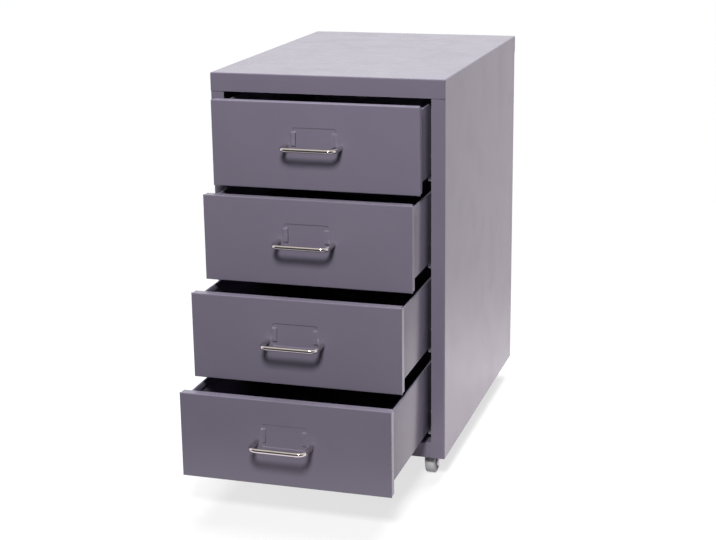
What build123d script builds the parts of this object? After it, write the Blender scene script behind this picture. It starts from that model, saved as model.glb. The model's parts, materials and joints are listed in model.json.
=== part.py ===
"""Small metal drawer cabinet on four swivel casters, with four drawers standing partly open.

Frame: +Z is up and the floor is Z = 0. X = 0 is the middle plane of the cabinet and the fronts
face -Y. The origin lies under the middle of the whole object as it stands here, drawers pulled.
All sizes are in millimetres.
"""
from build123d import *
import os

os.makedirs("parts", exist_ok=True)

# ------------------------------------------------------------------ driving sizes
# Carcass
cabinet_width = 280.0
cabinet_depth = 398.0
cabinet_height = 480.0
floor_gap = 28.0  # floor to the bottom edge of the side panels
body_sheet = 0.9
body_bend = 1.6  # outside radius of a fold in the carcass sheet
cover_lip = 21.6  # height of the lips turned down at the front and back of the top cover
cover_ease = 0.1  # gap between the lips and the sheets inside them
corner_relief = 0.4  # gap between a lip's rounded end and the side panel's notched corner
post_width = 16.1  # front flange of a side panel, seen as a post
rear_flange = 14.0
top_angle = 14.0  # angle welded inside a side panel, which carries the cover
rail_height = 19.0  # front skirt of the base pan
pan_flange = 10.0  # other three skirts of the base pan
back_clearance = 0.5  # back panel to cover, and pan to rear flange

# How far each drawer is pulled out
top_pull = 44.1
second_pull = 77.4
third_pull = 122.8
bottom_pull = 167.4

# Drawer fronts
front_side_gap = 1.6  # drawer front to post
front_gap = 3.4  # between two drawer fronts
cover_gap = 2.6  # top front to cover lip
rail_gap = 1.5  # bottom front to rail
front_depth = 10.0  # return flanges of a drawer front
front_bend = 1.2
front_relief = 1.6  # notch between two return flanges at a corner
drawer_sheet = 0.8

# Label pocket pressed into each front
pocket_width = 53.0
pocket_low = 44.0  # above the bottom edge of the front
pocket_height = 27.5
pocket_depth = 1.0
pocket_corner = 3.0
ear_inner = 43.0  # between the two lanced ears that hold a card
ear_width = 7.0
ear_low = 50.0
ear_height = 14.0
ear_rise = 0.8
ear_ramp = 2.0
card_gap = 0.7  # behind an ear, for the card's edge

# Wire handle
handle_wire = 5.0
handle_centres = 64.0
handle_reach = 26.5  # face of the front to the middle of the bar
handle_bend = 9.0
handle_level = 50.6  # above the bottom edge of the front
handle_screw = 3.0
handle_screw_depth = 7.0  # how far the screw goes into the wire
handle_bore_past = 1.0  # bore beyond the screw's tip

# Drawer tray
tray_inset = 3.6  # side of the front to the tray's wall
tray_lift = 10.3  # bottom edge of the front to the tray's bottom
tray_drop = 5.9  # top edge of the front to the tray's rim
tray_rear_room = 44.2  # rear of a closed tray to the back of the cover
tray_bend = 1.2
hem_width = 2.4
hem_height = 7.0
tray_tab = 12.0  # turned-in tabs welded to the front
back_flange = 9.0
back_hem_gap = 0.5

# Runners and glides
runner_sheet = 1.0
runner_bend = 1.4
runner_start = 1.0  # back of a closed front to the runner
runner_tail = 14.0  # runner behind its rear stop
runner_rim = 3.3  # turned-up inner edge that the tray's wall slides on
runner_channel = 26.8  # clear height inside the runner
runner_lip_gap = 2.0  # tray's wall to the upper lip
rim_setback = 0.3  # rim's outer face inside the tray's outer face
front_stop_setback = 32.0  # runner's front end to the back of its front stop
slide_gap = 0.3  # running clearance of the drawer in its runners
stop_width = 6.0
glide_length = 18.0
glide_wall = 2.4
glide_pin = 4.0
glide_pin_head = 7.0
glide_pin_head_height = 1.4
glide_pin_margin = 1.0  # pin's head to the flange of the tray's back

# Casters
wheel_diameter = 30.0
wheel_width = 12.0
wheel_round = 2.0
wheel_dish = 1.6  # depth of the hollow in a wheel's face
wheel_hub = 11.0
caster_inset = 21.0  # swivel axis to the side of the cover
caster_setback = 35.0  # swivel axis to the front or back of the cover
caster_trail = 8.0
fork_sheet = 1.5
fork_side_gap = 0.7  # wheel to fork leg
fork_head_gap = 1.0  # wheel to the head of the stem
fork_length = 18.0
axle_diameter = 4.0
axle_head = 6.5
axle_head_height = 1.0
axle_ease = 0.05
stem_spigot = 6.0
stem_head = 10.0
stem_head_height = 1.6
stem_collar = 13.0
stem_thread = 8.0
swivel_ease = 0.06
swivel_play = 0.12  # up and down, between fork and stem
nut_across_flats = 13.0
nut_height = 5.0
stem_past_nut = 1.0

# Screws in the sheet
sheet_screw = 3.5
screw_head = 7.0
screw_head_height = 1.7
screw_length = 8.0
hole_ease = 0.1
back_screw_rows = 3
back_screw_end = 30.0  # first and last row to the ends of the back panel
cover_screws_across = 3
cover_screw_spacing = 100.0

# ------------------------------------------------------------------ derived places
# Y of the cover: the whole object, handle of the most open drawer included, is centred on Y = 0
drawer_pulls = [top_pull, second_pull, third_pull, bottom_pull]
rest_reach = max(drawer_pulls) + handle_reach + handle_wire / 2
cover_front = (rest_reach - cabinet_depth - screw_head_height) / 2
cover_back = cover_front + cabinet_depth
cover_inset = body_sheet + cover_ease
panel_outer = cabinet_width / 2
panel_inner = panel_outer - body_sheet
post_front = cover_front + cover_inset
post_back = post_front + body_sheet
post_inner = panel_outer - post_width
back_outer = cover_back - cover_inset
back_inner = back_outer - body_sheet
cover_under = cabinet_height - body_sheet
pan_top = floor_gap + rail_height
pan_under = pan_top - body_sheet

drawer_count = len(drawer_pulls)
tray_length = cabinet_depth - drawer_sheet - tray_rear_room
front_width = 2 * (post_inner - front_side_gap)
fronts_low = pan_top + rail_gap
fronts_high = cabinet_height - cover_lip - cover_gap
front_height = (fronts_high - fronts_low - (drawer_count - 1) * front_gap) / drawer_count
front_pitch = front_height + front_gap

tray_outer = front_width / 2 - tray_inset
tray_inner = tray_outer - drawer_sheet
tray_height = front_height - tray_lift - tray_drop
back_height = tray_height - drawer_sheet - hem_height - back_hem_gap

runner_front = cover_front + front_depth + runner_start
ledge_top = tray_lift - slide_gap - runner_rim  # above the bottom edge of the front
lip_under = ledge_top + runner_channel
rim_outer = tray_outer - rim_setback
lip_inner = tray_outer + runner_lip_gap
glide_outer = panel_inner - runner_sheet - slide_gap
glide_centre = back_flange + glide_pin_head / 2 + glide_pin_margin  # ahead of the tray's rear end
closed_rear = cover_front + drawer_sheet + tray_length
glide_back_closed = closed_rear - glide_centre + glide_length / 2
glide_front_closed = glide_back_closed - glide_length
front_stop = runner_front + front_stop_setback
drawer_travel = glide_front_closed - slide_gap - front_stop  # from closed to fully open
rear_stop = glide_back_closed + slide_gap
runner_back = rear_stop + runner_sheet + runner_tail

axle_height = wheel_diameter / 2
stem_head_start = max(caster_trail - stem_head / 2, 0)  # nearest point of the head to the wheel's middle
wheel_under_stem = axle_height + ((wheel_diameter / 2) ** 2 - stem_head_start**2) ** 0.5
stem_bottom = wheel_under_stem + fork_head_gap
fork_plate_under = stem_bottom + stem_head_height + swivel_play
fork_plate_top = fork_plate_under + fork_sheet
collar_bottom = fork_plate_top + swivel_play
fork_gap = wheel_width + 2 * fork_side_gap
fork_width = fork_gap + 2 * fork_sheet

caster_places = {
    "front_left": (-(cabinet_width / 2 - caster_inset), cover_front + caster_setback),
    "front_right": (cabinet_width / 2 - caster_inset, cover_front + caster_setback),
    "rear_left": (-(cabinet_width / 2 - caster_inset), cover_back - caster_setback),
    "rear_right": (cabinet_width / 2 - caster_inset, cover_back - caster_setback),
}

back_screw_x = panel_outer - rear_flange / 2
back_screw_low = floor_gap + back_screw_end
back_screw_high = cabinet_height - cover_lip - back_screw_end
back_screw_step = (back_screw_high - back_screw_low) / (back_screw_rows - 1)
cover_screw_level = cabinet_height - cover_lip / 2
sheet_hole = sheet_screw / 2 + hole_ease


# ------------------------------------------------------------------ shared forms
def front_view(y):
    """Plane square to Y at y, seen from the front: sketch x is X and sketch y is Z."""
    return Plane(origin=(0, y, 0), x_dir=(1, 0, 0), z_dir=(0, -1, 0))


def side_view(x):
    """Plane square to X at x, seen from the right: sketch x is Y and sketch y is Z."""
    return Plane(origin=(x, 0, 0), x_dir=(0, 1, 0), z_dir=(1, 0, 0))


def slab(x, y, z, mode=Mode.ADD):
    """A flat slab between two X, two Y and two Z places, low place first."""
    with Locations((x[0], y[0], z[0])):
        Box(x[1] - x[0], y[1] - y[0], z[1] - z[0], align=(Align.MIN,) * 3, mode=mode)


def folded_section(points, sheet, bend, side=Side.LEFT):
    """Section of a folded sheet: points follow one face, and the sheet lies to one side."""
    with BuildLine() as outline:
        FilletPolyline(*points, radius=bend)
        offset(amount=sheet, side=side)
    make_face(outline.edges())


def save(piece, name):
    """Label a finished piece and write it."""
    piece.part.label = name
    export_step(piece.part, f"parts/{name}.step")


# ------------------------------------------------------------------ carcass
def back_screw_places():
    """X and Z of the screws that hold the back panel, as seen from the front."""
    rows = [back_screw_low + row * back_screw_step for row in range(back_screw_rows)]
    return [(side * back_screw_x, z) for side in (-1, 1) for z in rows]


def cover_screw_places():
    """X and Z of the screws through the rear lip of the cover."""
    first = -cover_screw_spacing * (cover_screws_across - 1) / 2
    return [(first + i * cover_screw_spacing, cover_screw_level) for i in range(cover_screws_across)]


def drill(places, radius, y_from, y_to):
    """Drill round holes along Y, at the given X and Z places, between two Y planes."""
    with BuildSketch(front_view(y_to)) as holes:
        with Locations(*places):
            Circle(radius)
    extrude(holes.sketch, amount=y_to - y_from, mode=Mode.SUBTRACT)


with BuildPart() as top_cover:
    with BuildSketch(Plane.XY.offset(cabinet_height - cover_lip)):
        with Locations((0, (cover_front + cover_back) / 2)):
            Rectangle(cabinet_width, cabinet_depth)
    extrude(amount=cover_lip)
    fillet(top_cover.edges().filter_by(Axis.Z), body_bend)
    fillet(top_cover.faces().sort_by(Axis.Z)[-1].edges(), body_bend)
    offset(amount=-body_sheet, openings=top_cover.faces().sort_by(Axis.Z)[0])
    slab(
        (-panel_outer, panel_outer),
        (cover_front + body_bend, cover_back - body_bend),
        (cabinet_height - cover_lip, cabinet_height - body_bend),
        Mode.SUBTRACT,
    )
    drill(cover_screw_places(), sheet_hole, cover_back - cover_inset, cover_back + body_sheet)
save(top_cover, "top_cover")

with BuildPart() as side_panel_right:
    with BuildSketch(Plane.XY.offset(floor_gap)):
        folded_section(
            [
                (post_inner, post_front),
                (panel_outer, post_front),
                (panel_outer, back_inner),
                (panel_outer - rear_flange, back_inner),
            ],
            body_sheet,
            body_bend,
        )
    extrude(amount=cabinet_height - body_bend - floor_gap)
    slab(
        (panel_outer - body_bend - body_sheet, panel_outer),
        (post_front, cover_front + body_bend + corner_relief),
        (cabinet_height - cover_lip - corner_relief, cabinet_height - body_bend),
        Mode.SUBTRACT,
    )
    with BuildSketch(front_view(post_back + body_bend)):
        folded_section(
            [
                (panel_inner, cover_under - top_angle),
                (panel_inner, cover_under),
                (panel_inner - top_angle, cover_under),
            ],
            body_sheet,
            body_bend,
        )
    extrude(amount=post_back - back_inner + body_sheet + 2 * body_bend)
    drill(back_screw_places()[back_screw_rows:], sheet_hole, back_inner - 2 * body_sheet, back_inner)
save(side_panel_right, "side_panel_right")

with BuildPart() as side_panel_left:
    mirror(side_panel_right.part, about=Plane.YZ)
save(side_panel_left, "side_panel_left")

with BuildPart() as back_panel:
    slab(
        (body_bend - panel_outer, panel_outer - body_bend),
        (back_inner, back_outer),
        (floor_gap, cover_under - back_clearance),
    )
    screw_places = back_screw_places() + cover_screw_places()
    drill(screw_places, sheet_hole, back_inner - body_sheet, back_outer + body_sheet)
save(back_panel, "back_panel")

with BuildPart() as base_pan:
    with BuildSketch(side_view(body_bend - panel_inner)):
        folded_section(
            [
                (post_back, floor_gap),
                (post_back, pan_top),
                (back_inner - body_sheet, pan_top),
                (back_inner - body_sheet, pan_top - pan_flange),
            ],
            body_sheet,
            body_bend,
            Side.RIGHT,
        )
    extrude(amount=2 * (panel_inner - body_bend))
    with BuildSketch(front_view(post_back + body_bend)):
        folded_section(
            [
                (-panel_inner, pan_top - pan_flange),
                (-panel_inner, pan_top),
                (panel_inner, pan_top),
                (panel_inner, pan_top - pan_flange),
            ],
            body_sheet,
            body_bend,
            Side.RIGHT,
        )
    extrude(amount=post_back - back_inner + body_sheet + 2 * body_bend)
    with BuildSketch(Plane.XY.offset(pan_under)):
        with Locations(*caster_places.values()):
            Circle(stem_thread / 2 + hole_ease)
    extrude(amount=body_sheet, mode=Mode.SUBTRACT)
save(base_pan, "base_pan")


def rear_screws(places, seat):
    """Pan-head sheet screws put in from behind, with their heads on the plane Y = seat."""
    with BuildPart() as group:
        with BuildSketch(front_view(seat)):
            with Locations(*places):
                Circle(screw_head / 2)
        extrude(amount=-screw_head_height)
        fillet(group.faces().sort_by(Axis.Y)[-len(places) :].edges(), screw_head_height / 2)
        with BuildSketch(front_view(seat)):
            with Locations(*places):
                Circle(sheet_screw / 2)
        extrude(amount=screw_length)
    return group


save(rear_screws(back_screw_places(), back_outer), "back_screws")
save(rear_screws(cover_screw_places(), cover_back), "cover_screws")


# ------------------------------------------------------------------ runners
for number in range(1, drawer_count + 1):
    front_low = fronts_high - front_height - (number - 1) * front_pitch
    ledge = front_low + ledge_top
    lip = front_low + lip_under
    web = panel_inner - runner_sheet

    with BuildPart() as runner_right:
        with BuildSketch(front_view(runner_front)):
            folded_section(
                [
                    (rim_outer - runner_sheet, ledge + runner_rim),
                    (rim_outer - runner_sheet, ledge - runner_sheet),
                    (panel_inner, ledge - runner_sheet),
                    (panel_inner, lip + runner_sheet),
                    (lip_inner, lip + runner_sheet),
                ],
                runner_sheet,
                runner_bend,
            )
        extrude(amount=runner_front - runner_back)
        for stop_face in (front_stop - runner_sheet, rear_stop):
            slab((web - stop_width, web), (stop_face, stop_face + runner_sheet), (ledge, lip))
    save(runner_right, f"runner_right_{number}")

    with BuildPart() as runner_left:
        mirror(runner_right.part, about=Plane.YZ)
    save(runner_left, f"runner_left_{number}")


# ------------------------------------------------------------------ drawers
def drawer_front(face, low):
    """Pressed front pan with return flanges, label pocket and handle holes."""
    high = low + front_height
    half = front_width / 2
    with BuildPart() as front:
        with BuildSketch(front_view(face)):
            with Locations((0, low + front_height / 2)):
                Rectangle(front_width, front_height)
        extrude(amount=-front_depth)
        fillet(front.faces().sort_by(Axis.Y)[0].edges(), front_bend)
        offset(amount=-drawer_sheet, openings=front.faces().sort_by(Axis.Y)[-1])
        for x in (-half, half - front_relief):
            for z in (low, high - front_relief):
                slab(
                    (x, x + front_relief),
                    (face + front_bend + drawer_sheet, face + front_depth),
                    (z, z + front_relief),
                    Mode.SUBTRACT,
                )
        pocket_middle = (0, low + pocket_low + pocket_height / 2)
        with BuildSketch(front_view(face + drawer_sheet)):
            with Locations(pocket_middle):
                RectangleRounded(
                    pocket_width + 2 * drawer_sheet,
                    pocket_height + 2 * drawer_sheet,
                    pocket_corner + drawer_sheet,
                )
        extrude(amount=-pocket_depth)
        with BuildSketch(front_view(face)):
            with Locations(pocket_middle):
                RectangleRounded(pocket_width, pocket_height, pocket_corner)
        extrude(amount=-pocket_depth, mode=Mode.SUBTRACT)
        for side in (-1, 1):
            inner = side * ear_inner / 2
            with BuildSketch(side_view(min(inner, inner + side * ear_width))):
                with BuildLine():
                    Polyline(
                        (face, low + ear_low),
                        (face - ear_rise, low + ear_low + ear_ramp),
                        (face - ear_rise, low + ear_low + ear_height - ear_ramp),
                        (face, low + ear_low + ear_height),
                        (face + pocket_depth, low + ear_low + ear_height),
                        (face + pocket_depth, low + ear_low),
                        close=True,
                    )
                make_face()
            extrude(amount=ear_width)
            slot = (side * ear_inner / 2, side * pocket_width / 2)
            slab(
                (min(slot), max(slot)),
                (face + pocket_depth - card_gap, face + pocket_depth),
                (low + ear_low, low + ear_low + ear_height),
                Mode.SUBTRACT,
            )
        drill(handle_places(low), handle_screw / 2 + hole_ease, face - drawer_sheet, face + 2 * drawer_sheet)
    return front


def handle_places(low):
    """X and Z of the two legs of a handle."""
    return [(side * handle_centres / 2, low + handle_level) for side in (-1, 1)]


def drawer_handle(face, low):
    """Bent wire handle, with a tapped bore in the end of each leg."""
    level = low + handle_level
    half = handle_centres / 2
    bore_end = face - handle_screw_depth - handle_bore_past
    with BuildPart() as handle:
        with BuildLine():
            wire = FilletPolyline(
                (-half, face, level),
                (-half, face - handle_reach, level),
                (half, face - handle_reach, level),
                (half, face, level),
                radius=handle_bend,
            )
        with BuildSketch(Plane(origin=wire @ 0, z_dir=wire % 0)):
            Circle(handle_wire / 2)
        sweep()
        drill(handle_places(low), handle_screw / 2 + axle_ease, bore_end, face)
    return handle


def drawer_handle_screws(face, low):
    """The two screws that hold the handle, put in from inside the drawer."""
    with BuildPart() as pair:
        with BuildSketch(front_view(face + drawer_sheet)):
            with Locations(*handle_places(low)):
                Circle(handle_screw)
        extrude(amount=-handle_screw / 2)
        with BuildSketch(front_view(face + drawer_sheet)):
            with Locations(*handle_places(low)):
                Circle(handle_screw / 2)
        extrude(amount=drawer_sheet + handle_screw_depth)
    return pair


def drawer_tray(face, low):
    """Folded bottom and side walls with hemmed rims, and tabs against the front."""
    seat = face + drawer_sheet
    floor = low + tray_lift
    rim = floor + tray_height
    with BuildPart() as tray:
        with BuildSketch(front_view(seat)):
            folded_section(
                [
                    (-tray_outer, rim),
                    (-tray_outer, floor),
                    (tray_outer, floor),
                    (tray_outer, rim),
                ],
                drawer_sheet,
                tray_bend,
            )
            for side in (-1, 1):
                with Locations((side * (tray_outer - hem_width / 2), rim - hem_height / 2)):
                    Rectangle(hem_width, hem_height)
        extrude(amount=-tray_length)
        slab(
            (-tray_inner + tray_tab, tray_inner - tray_tab),
            (seat, seat + drawer_sheet),
            (floor, floor + tray_tab),
        )
        for side in (-1, 1):
            inner = side * (tray_inner - tray_tab)
            outer = side * tray_inner
            slab(
                (min(inner, outer), max(inner, outer)),
                (seat, seat + drawer_sheet),
                (floor + drawer_sheet + tray_bend, rim - hem_height),
            )
        with BuildSketch(side_view(-tray_outer)):
            with Locations((seat + tray_length - glide_centre, floor + glide_level())):
                Circle(glide_pin / 2 + hole_ease)
        extrude(amount=2 * tray_outer, mode=Mode.SUBTRACT)
    return tray


def glide_level():
    """Middle of the runner's channel, above the tray's bottom."""
    return ledge_top + runner_channel / 2 - tray_lift


def drawer_back(face, low):
    """Back wall with flanges on the tray's walls and bottom."""
    floor = low + tray_lift + drawer_sheet
    rear = face + drawer_sheet + tray_length
    with BuildPart() as back:
        with BuildSketch(Plane.XY.offset(floor + tray_bend)):
            folded_section(
                [
                    (-tray_inner, rear - back_flange),
                    (-tray_inner, rear),
                    (tray_inner, rear),
                    (tray_inner, rear - back_flange),
                ],
                drawer_sheet,
                tray_bend,
                Side.RIGHT,
            )
        extrude(amount=back_height - tray_bend)
        slab(
            (-tray_inner + tray_bend, tray_inner - tray_bend),
            (rear - drawer_sheet, rear),
            (floor, floor + tray_bend),
        )
        slab(
            (-tray_inner + back_flange, tray_inner - back_flange),
            (rear - back_flange, rear - drawer_sheet),
            (floor, floor + drawer_sheet),
        )
    return back


def drawer_glides(face, low):
    """Two moulded glides that ride in the runners, each with a pin through the tray's wall."""
    middle_y = face + drawer_sheet + tray_length - glide_centre
    middle_z = low + tray_lift + glide_level()
    height = runner_channel - 2 * slide_gap
    depth = glide_outer - tray_outer
    pocket = (glide_length - 3 * glide_wall) / 2
    with BuildPart() as glides:
        for side in (-1, 1):
            wall = side * tray_outer
            with BuildSketch(side_view(wall)):
                with Locations((middle_y, middle_z)):
                    RectangleRounded(glide_length, height, glide_wall)
            extrude(amount=side * depth)
            with BuildSketch(side_view(side * glide_outer)):
                for hollow in (-1, 1):
                    with Locations((middle_y + hollow * (pocket + glide_wall) / 2, middle_z)):
                        Rectangle(pocket, height - 2 * glide_wall)
            extrude(amount=-side * (depth - glide_wall), mode=Mode.SUBTRACT)
            with BuildSketch(side_view(wall)):
                with Locations((middle_y, middle_z)):
                    Circle(glide_pin / 2)
            extrude(amount=-side * drawer_sheet)
            with BuildSketch(side_view(side * tray_inner)):
                with Locations((middle_y, middle_z)):
                    Circle(glide_pin_head / 2)
            extrude(amount=-side * glide_pin_head_height)
    return glides


for number, pull in enumerate(drawer_pulls, start=1):
    face = cover_front - pull
    low = fronts_high - front_height - (number - 1) * front_pitch
    save(drawer_front(face, low), f"drawer_{number}_front")
    save(drawer_tray(face, low), f"drawer_{number}_tray")
    save(drawer_back(face, low), f"drawer_{number}_back")
    save(drawer_handle(face, low), f"drawer_{number}_handle")
    save(drawer_handle_screws(face, low), f"drawer_{number}_handle_screws")
    save(drawer_glides(face, low), f"drawer_{number}_glides")


# ------------------------------------------------------------------ casters
def caster_stem(x, y):
    """Threaded stem with a collar under the base pan and a riveted head that holds the fork."""
    sections = [
        (stem_head, stem_bottom, stem_bottom + stem_head_height),
        (stem_spigot, stem_bottom, collar_bottom),
        (stem_collar, collar_bottom, pan_under),
        (stem_thread, pan_under, pan_top + nut_height + stem_past_nut),
    ]
    with BuildPart() as stem:
        for diameter, bottom, top in sections:
            with BuildSketch(Plane.XY.offset(bottom)):
                with Locations((x, y)):
                    Circle(diameter / 2)
            extrude(amount=top - bottom)
        chamfer(stem.edges().filter_by(GeomType.CIRCLE).sort_by(Axis.Z)[-1], stem_thread / 10)
    return stem


def caster_fork(x, y):
    """Bent steel fork: a head plate that turns on the stem and two legs down to the axle."""
    axle_y = y - caster_trail
    with BuildPart() as fork:
        with BuildSketch(Plane.XY.offset(fork_plate_under)):
            with Locations((x, y)):
                Rectangle(fork_width, fork_length)
        extrude(amount=fork_sheet)
        for leg in (x - fork_width / 2, x + fork_gap / 2):
            with BuildSketch(side_view(leg)):
                with Locations((y, fork_plate_under)):
                    Rectangle(fork_length, fork_sheet, align=(Align.CENTER, Align.MIN))
                with Locations((axle_y, axle_height)):
                    Circle(axle_head)
                make_hull()
            extrude(amount=fork_sheet)
        fillet(fork.edges().filter_by(Axis.Y).group_by(Axis.Z)[-1], fork_sheet * 0.8)
        with BuildSketch(Plane.XY.offset(fork_plate_under)):
            with Locations((x, y)):
                Circle(stem_spigot / 2 + swivel_ease)
        extrude(amount=fork_sheet, mode=Mode.SUBTRACT)
        with BuildSketch(side_view(x - fork_width / 2)):
            with Locations((axle_y, axle_height)):
                Circle(axle_diameter / 2)
        extrude(amount=fork_width, mode=Mode.SUBTRACT)
    return fork


def caster_axle(x, y):
    """Riveted axle through both legs of the fork."""
    axle_y = y - caster_trail
    left = x - fork_width / 2
    spans = [
        (axle_diameter, left, fork_width),
        (axle_head, left - axle_head_height, axle_head_height),
        (axle_head, left + fork_width, axle_head_height),
    ]
    with BuildPart() as axle:
        for diameter, start, length in spans:
            with BuildSketch(side_view(start)):
                with Locations((axle_y, axle_height)):
                    Circle(diameter / 2)
            extrude(amount=length)
    return axle


def caster_wheel(x, y):
    """Moulded wheel with rounded shoulders, dished faces and a bore that runs on the axle."""
    axle_y = y - caster_trail
    left = x - wheel_width / 2
    dish_outer = wheel_diameter / 2 - wheel_round - wheel_dish
    with BuildPart() as wheel:
        with BuildSketch(side_view(left)):
            with Locations((axle_y, axle_height)):
                Circle(wheel_diameter / 2)
        extrude(amount=wheel_width)
        fillet(wheel.edges().filter_by(GeomType.CIRCLE), wheel_round)
        for start in (left, left + wheel_width - wheel_dish):
            with BuildSketch(side_view(start)):
                with Locations((axle_y, axle_height)):
                    Circle(dish_outer)
                    Circle(wheel_hub / 2, mode=Mode.SUBTRACT)
            extrude(amount=wheel_dish, mode=Mode.SUBTRACT)
        with BuildSketch(side_view(left)):
            with Locations((axle_y, axle_height)):
                Circle(axle_diameter / 2 + axle_ease)
        extrude(amount=wheel_width, mode=Mode.SUBTRACT)
    return wheel


for place, (x, y) in caster_places.items():
    save(caster_stem(x, y), f"caster_{place}_stem")
    save(caster_fork(x, y), f"caster_{place}_fork")
    save(caster_axle(x, y), f"caster_{place}_axle")
    save(caster_wheel(x, y), f"caster_{place}_wheel")

with BuildPart() as caster_nuts:
    with BuildSketch(Plane.XY.offset(pan_top)):
        with Locations(*caster_places.values()):
            RegularPolygon(nut_across_flats / 2, 6, major_radius=False)
            Circle(stem_thread / 2 + axle_ease, mode=Mode.SUBTRACT)
    extrude(amount=nut_height)
save(caster_nuts, "caster_nuts")
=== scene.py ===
# %% [markdown]
# A small metal drawer cabinet, dressed round its fixed frame.
# The frame holds every sheet, runner, glide and caster at its real size. This lesson gives them
# their finish, models the forms that a press, a lathe or a moulder leaves on them, and lights the
# whole thing as a plain studio would. Everything is in metres, in the frame's own coordinates:
# the floor is Z = 0, the fronts face -Y, and X = 0 is the middle of the cabinet.

# %% Load the frame
import json
import math

import bmesh
import bpy
from mathutils import Matrix, Vector


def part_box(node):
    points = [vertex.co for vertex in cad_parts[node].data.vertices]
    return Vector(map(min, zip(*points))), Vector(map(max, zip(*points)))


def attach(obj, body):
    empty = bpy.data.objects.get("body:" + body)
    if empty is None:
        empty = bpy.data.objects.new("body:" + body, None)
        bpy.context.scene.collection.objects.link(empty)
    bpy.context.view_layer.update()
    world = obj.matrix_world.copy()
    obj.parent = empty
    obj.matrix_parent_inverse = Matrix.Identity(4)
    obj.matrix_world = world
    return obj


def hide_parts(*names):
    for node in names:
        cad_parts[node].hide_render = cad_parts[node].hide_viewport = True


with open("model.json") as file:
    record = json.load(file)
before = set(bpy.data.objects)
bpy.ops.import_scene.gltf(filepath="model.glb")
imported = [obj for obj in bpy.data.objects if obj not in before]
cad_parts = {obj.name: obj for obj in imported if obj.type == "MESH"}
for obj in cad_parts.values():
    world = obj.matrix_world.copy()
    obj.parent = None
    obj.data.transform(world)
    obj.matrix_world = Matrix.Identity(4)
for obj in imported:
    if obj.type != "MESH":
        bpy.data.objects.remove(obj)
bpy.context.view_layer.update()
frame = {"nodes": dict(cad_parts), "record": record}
nodes = frame["nodes"]
MM = 0.001

# %% [markdown]
# The camera comes first, because every later choice is judged through it. A product photograph is
# taken from far away with a long lens, which keeps the upright edges nearly parallel. The place
# and the turn of this camera were worked out from the corners of the cabinet. Blender could aim a
# camera with a Track To constraint, but a matrix made of three directions also holds the small
# roll of a hand-set tripod, and it reads no other object.

# %% Camera
camera_place = Vector((0.5406, -1.7518, 0.7389))
camera_yaw = math.radians(16.994)
camera_down_tilt = math.radians(15.685)
camera_roll = math.radians(-0.767)
sensor_width = 36.0
focal_length = 77.40

forward = Vector((
    -math.sin(camera_yaw) * math.cos(camera_down_tilt),
    math.cos(camera_yaw) * math.cos(camera_down_tilt),
    -math.sin(camera_down_tilt),
))
level = forward.cross(Vector((0, 0, 1))).normalized()
plumb = forward.cross(level)
right = level * math.cos(camera_roll) - plumb * math.sin(camera_roll)
down = forward.cross(right)

camera_data = bpy.data.cameras.new("camera")
camera_data.sensor_width = sensor_width
camera_data.lens = focal_length
camera = bpy.data.objects.new("camera", camera_data)
bpy.context.scene.collection.objects.link(camera)
turn = Matrix((right, -down, -forward)).transposed().to_4x4()
camera.matrix_world = Matrix.Translation(camera_place) @ turn
bpy.context.scene.camera = camera
print(f"camera {camera_place.length:.2f} m from the origin")

# %% [markdown]
# Materials and the world are graphs of nodes. A few short helpers keep the cells below readable:
# one adds a node and sets its properties and values, one joins two sockets, and one makes a soft
# step from 0 to 1 between two values. A group of nodes is made with named inputs and outputs, so
# that an effect is built once and each finish gives it values of its own.

# %% Helpers for node graphs
def add(tree, kind, sockets=None, **settings):
    """Add a node to a tree, set its properties, and set values on its input sockets."""
    node = tree.nodes.new(kind)
    for name, value in settings.items():
        setattr(node, name, value)
    for name, value in (sockets or {}).items():
        node.inputs[name].default_value = value
    return node


def join(tree, source, output, target, slot_name):
    """Link an output of one node to an input of another, each by name or number."""
    tree.links.new(source.outputs[output], target.inputs[slot_name])


def math_node(tree, operation, *values):
    """A Math node whose inputs are numbers, or (node, output) pairs to link."""
    node = add(tree, "ShaderNodeMath", operation=operation)
    for number, value in enumerate(values):
        if isinstance(value, tuple):
            join(tree, *value, node, number)
        else:
            node.inputs[number].default_value = value
    return node


def soft_step(tree, source, output, start, end, low=0.0, high=1.0):
    """A value that turns smoothly from low to high as the source goes from start to end."""
    node = add(
        tree,
        "ShaderNodeMapRange",
        {"From Min": start, "From Max": end, "To Min": low, "To Max": high},
        interpolation_type="SMOOTHSTEP",
    )
    join(tree, source, output, node, "Value")
    return node


def noise(tree, scale, detail=2.0, stretch=None):
    """Noise fixed to the object, finer along an axis whose stretch is larger."""
    place = add(tree, "ShaderNodeTexCoord")
    mapping = add(tree, "ShaderNodeMapping", {"Scale": stretch or (1, 1, 1)})
    join(tree, place, "Object", mapping, "Vector")
    texture = add(tree, "ShaderNodeTexNoise", {"Detail": detail})
    join(tree, mapping, 0, texture, "Vector")
    if isinstance(scale, tuple):
        join(tree, *scale, texture, "Scale")
    else:
        texture.inputs["Scale"].default_value = scale
    return texture


def new_group(name, inputs, output):
    """An empty group with number inputs and one number output, and its two end nodes."""
    tree = bpy.data.node_groups.new(name, "ShaderNodeTree")
    for socket_name, value in inputs.items():
        socket = tree.interface.new_socket(socket_name, in_out="INPUT", socket_type="NodeSocketFloat")
        socket.default_value = value
    tree.interface.new_socket(output, in_out="OUTPUT", socket_type="NodeSocketFloat")
    return tree, add(tree, "NodeGroupInput"), add(tree, "NodeGroupOutput")


def use(tree, group, **values):
    """Place a group in a tree, with values for its inputs."""
    node = add(tree, "ShaderNodeGroup", node_tree=group)
    for name, value in values.items():
        node.inputs[name].default_value = value
    return node


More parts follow.
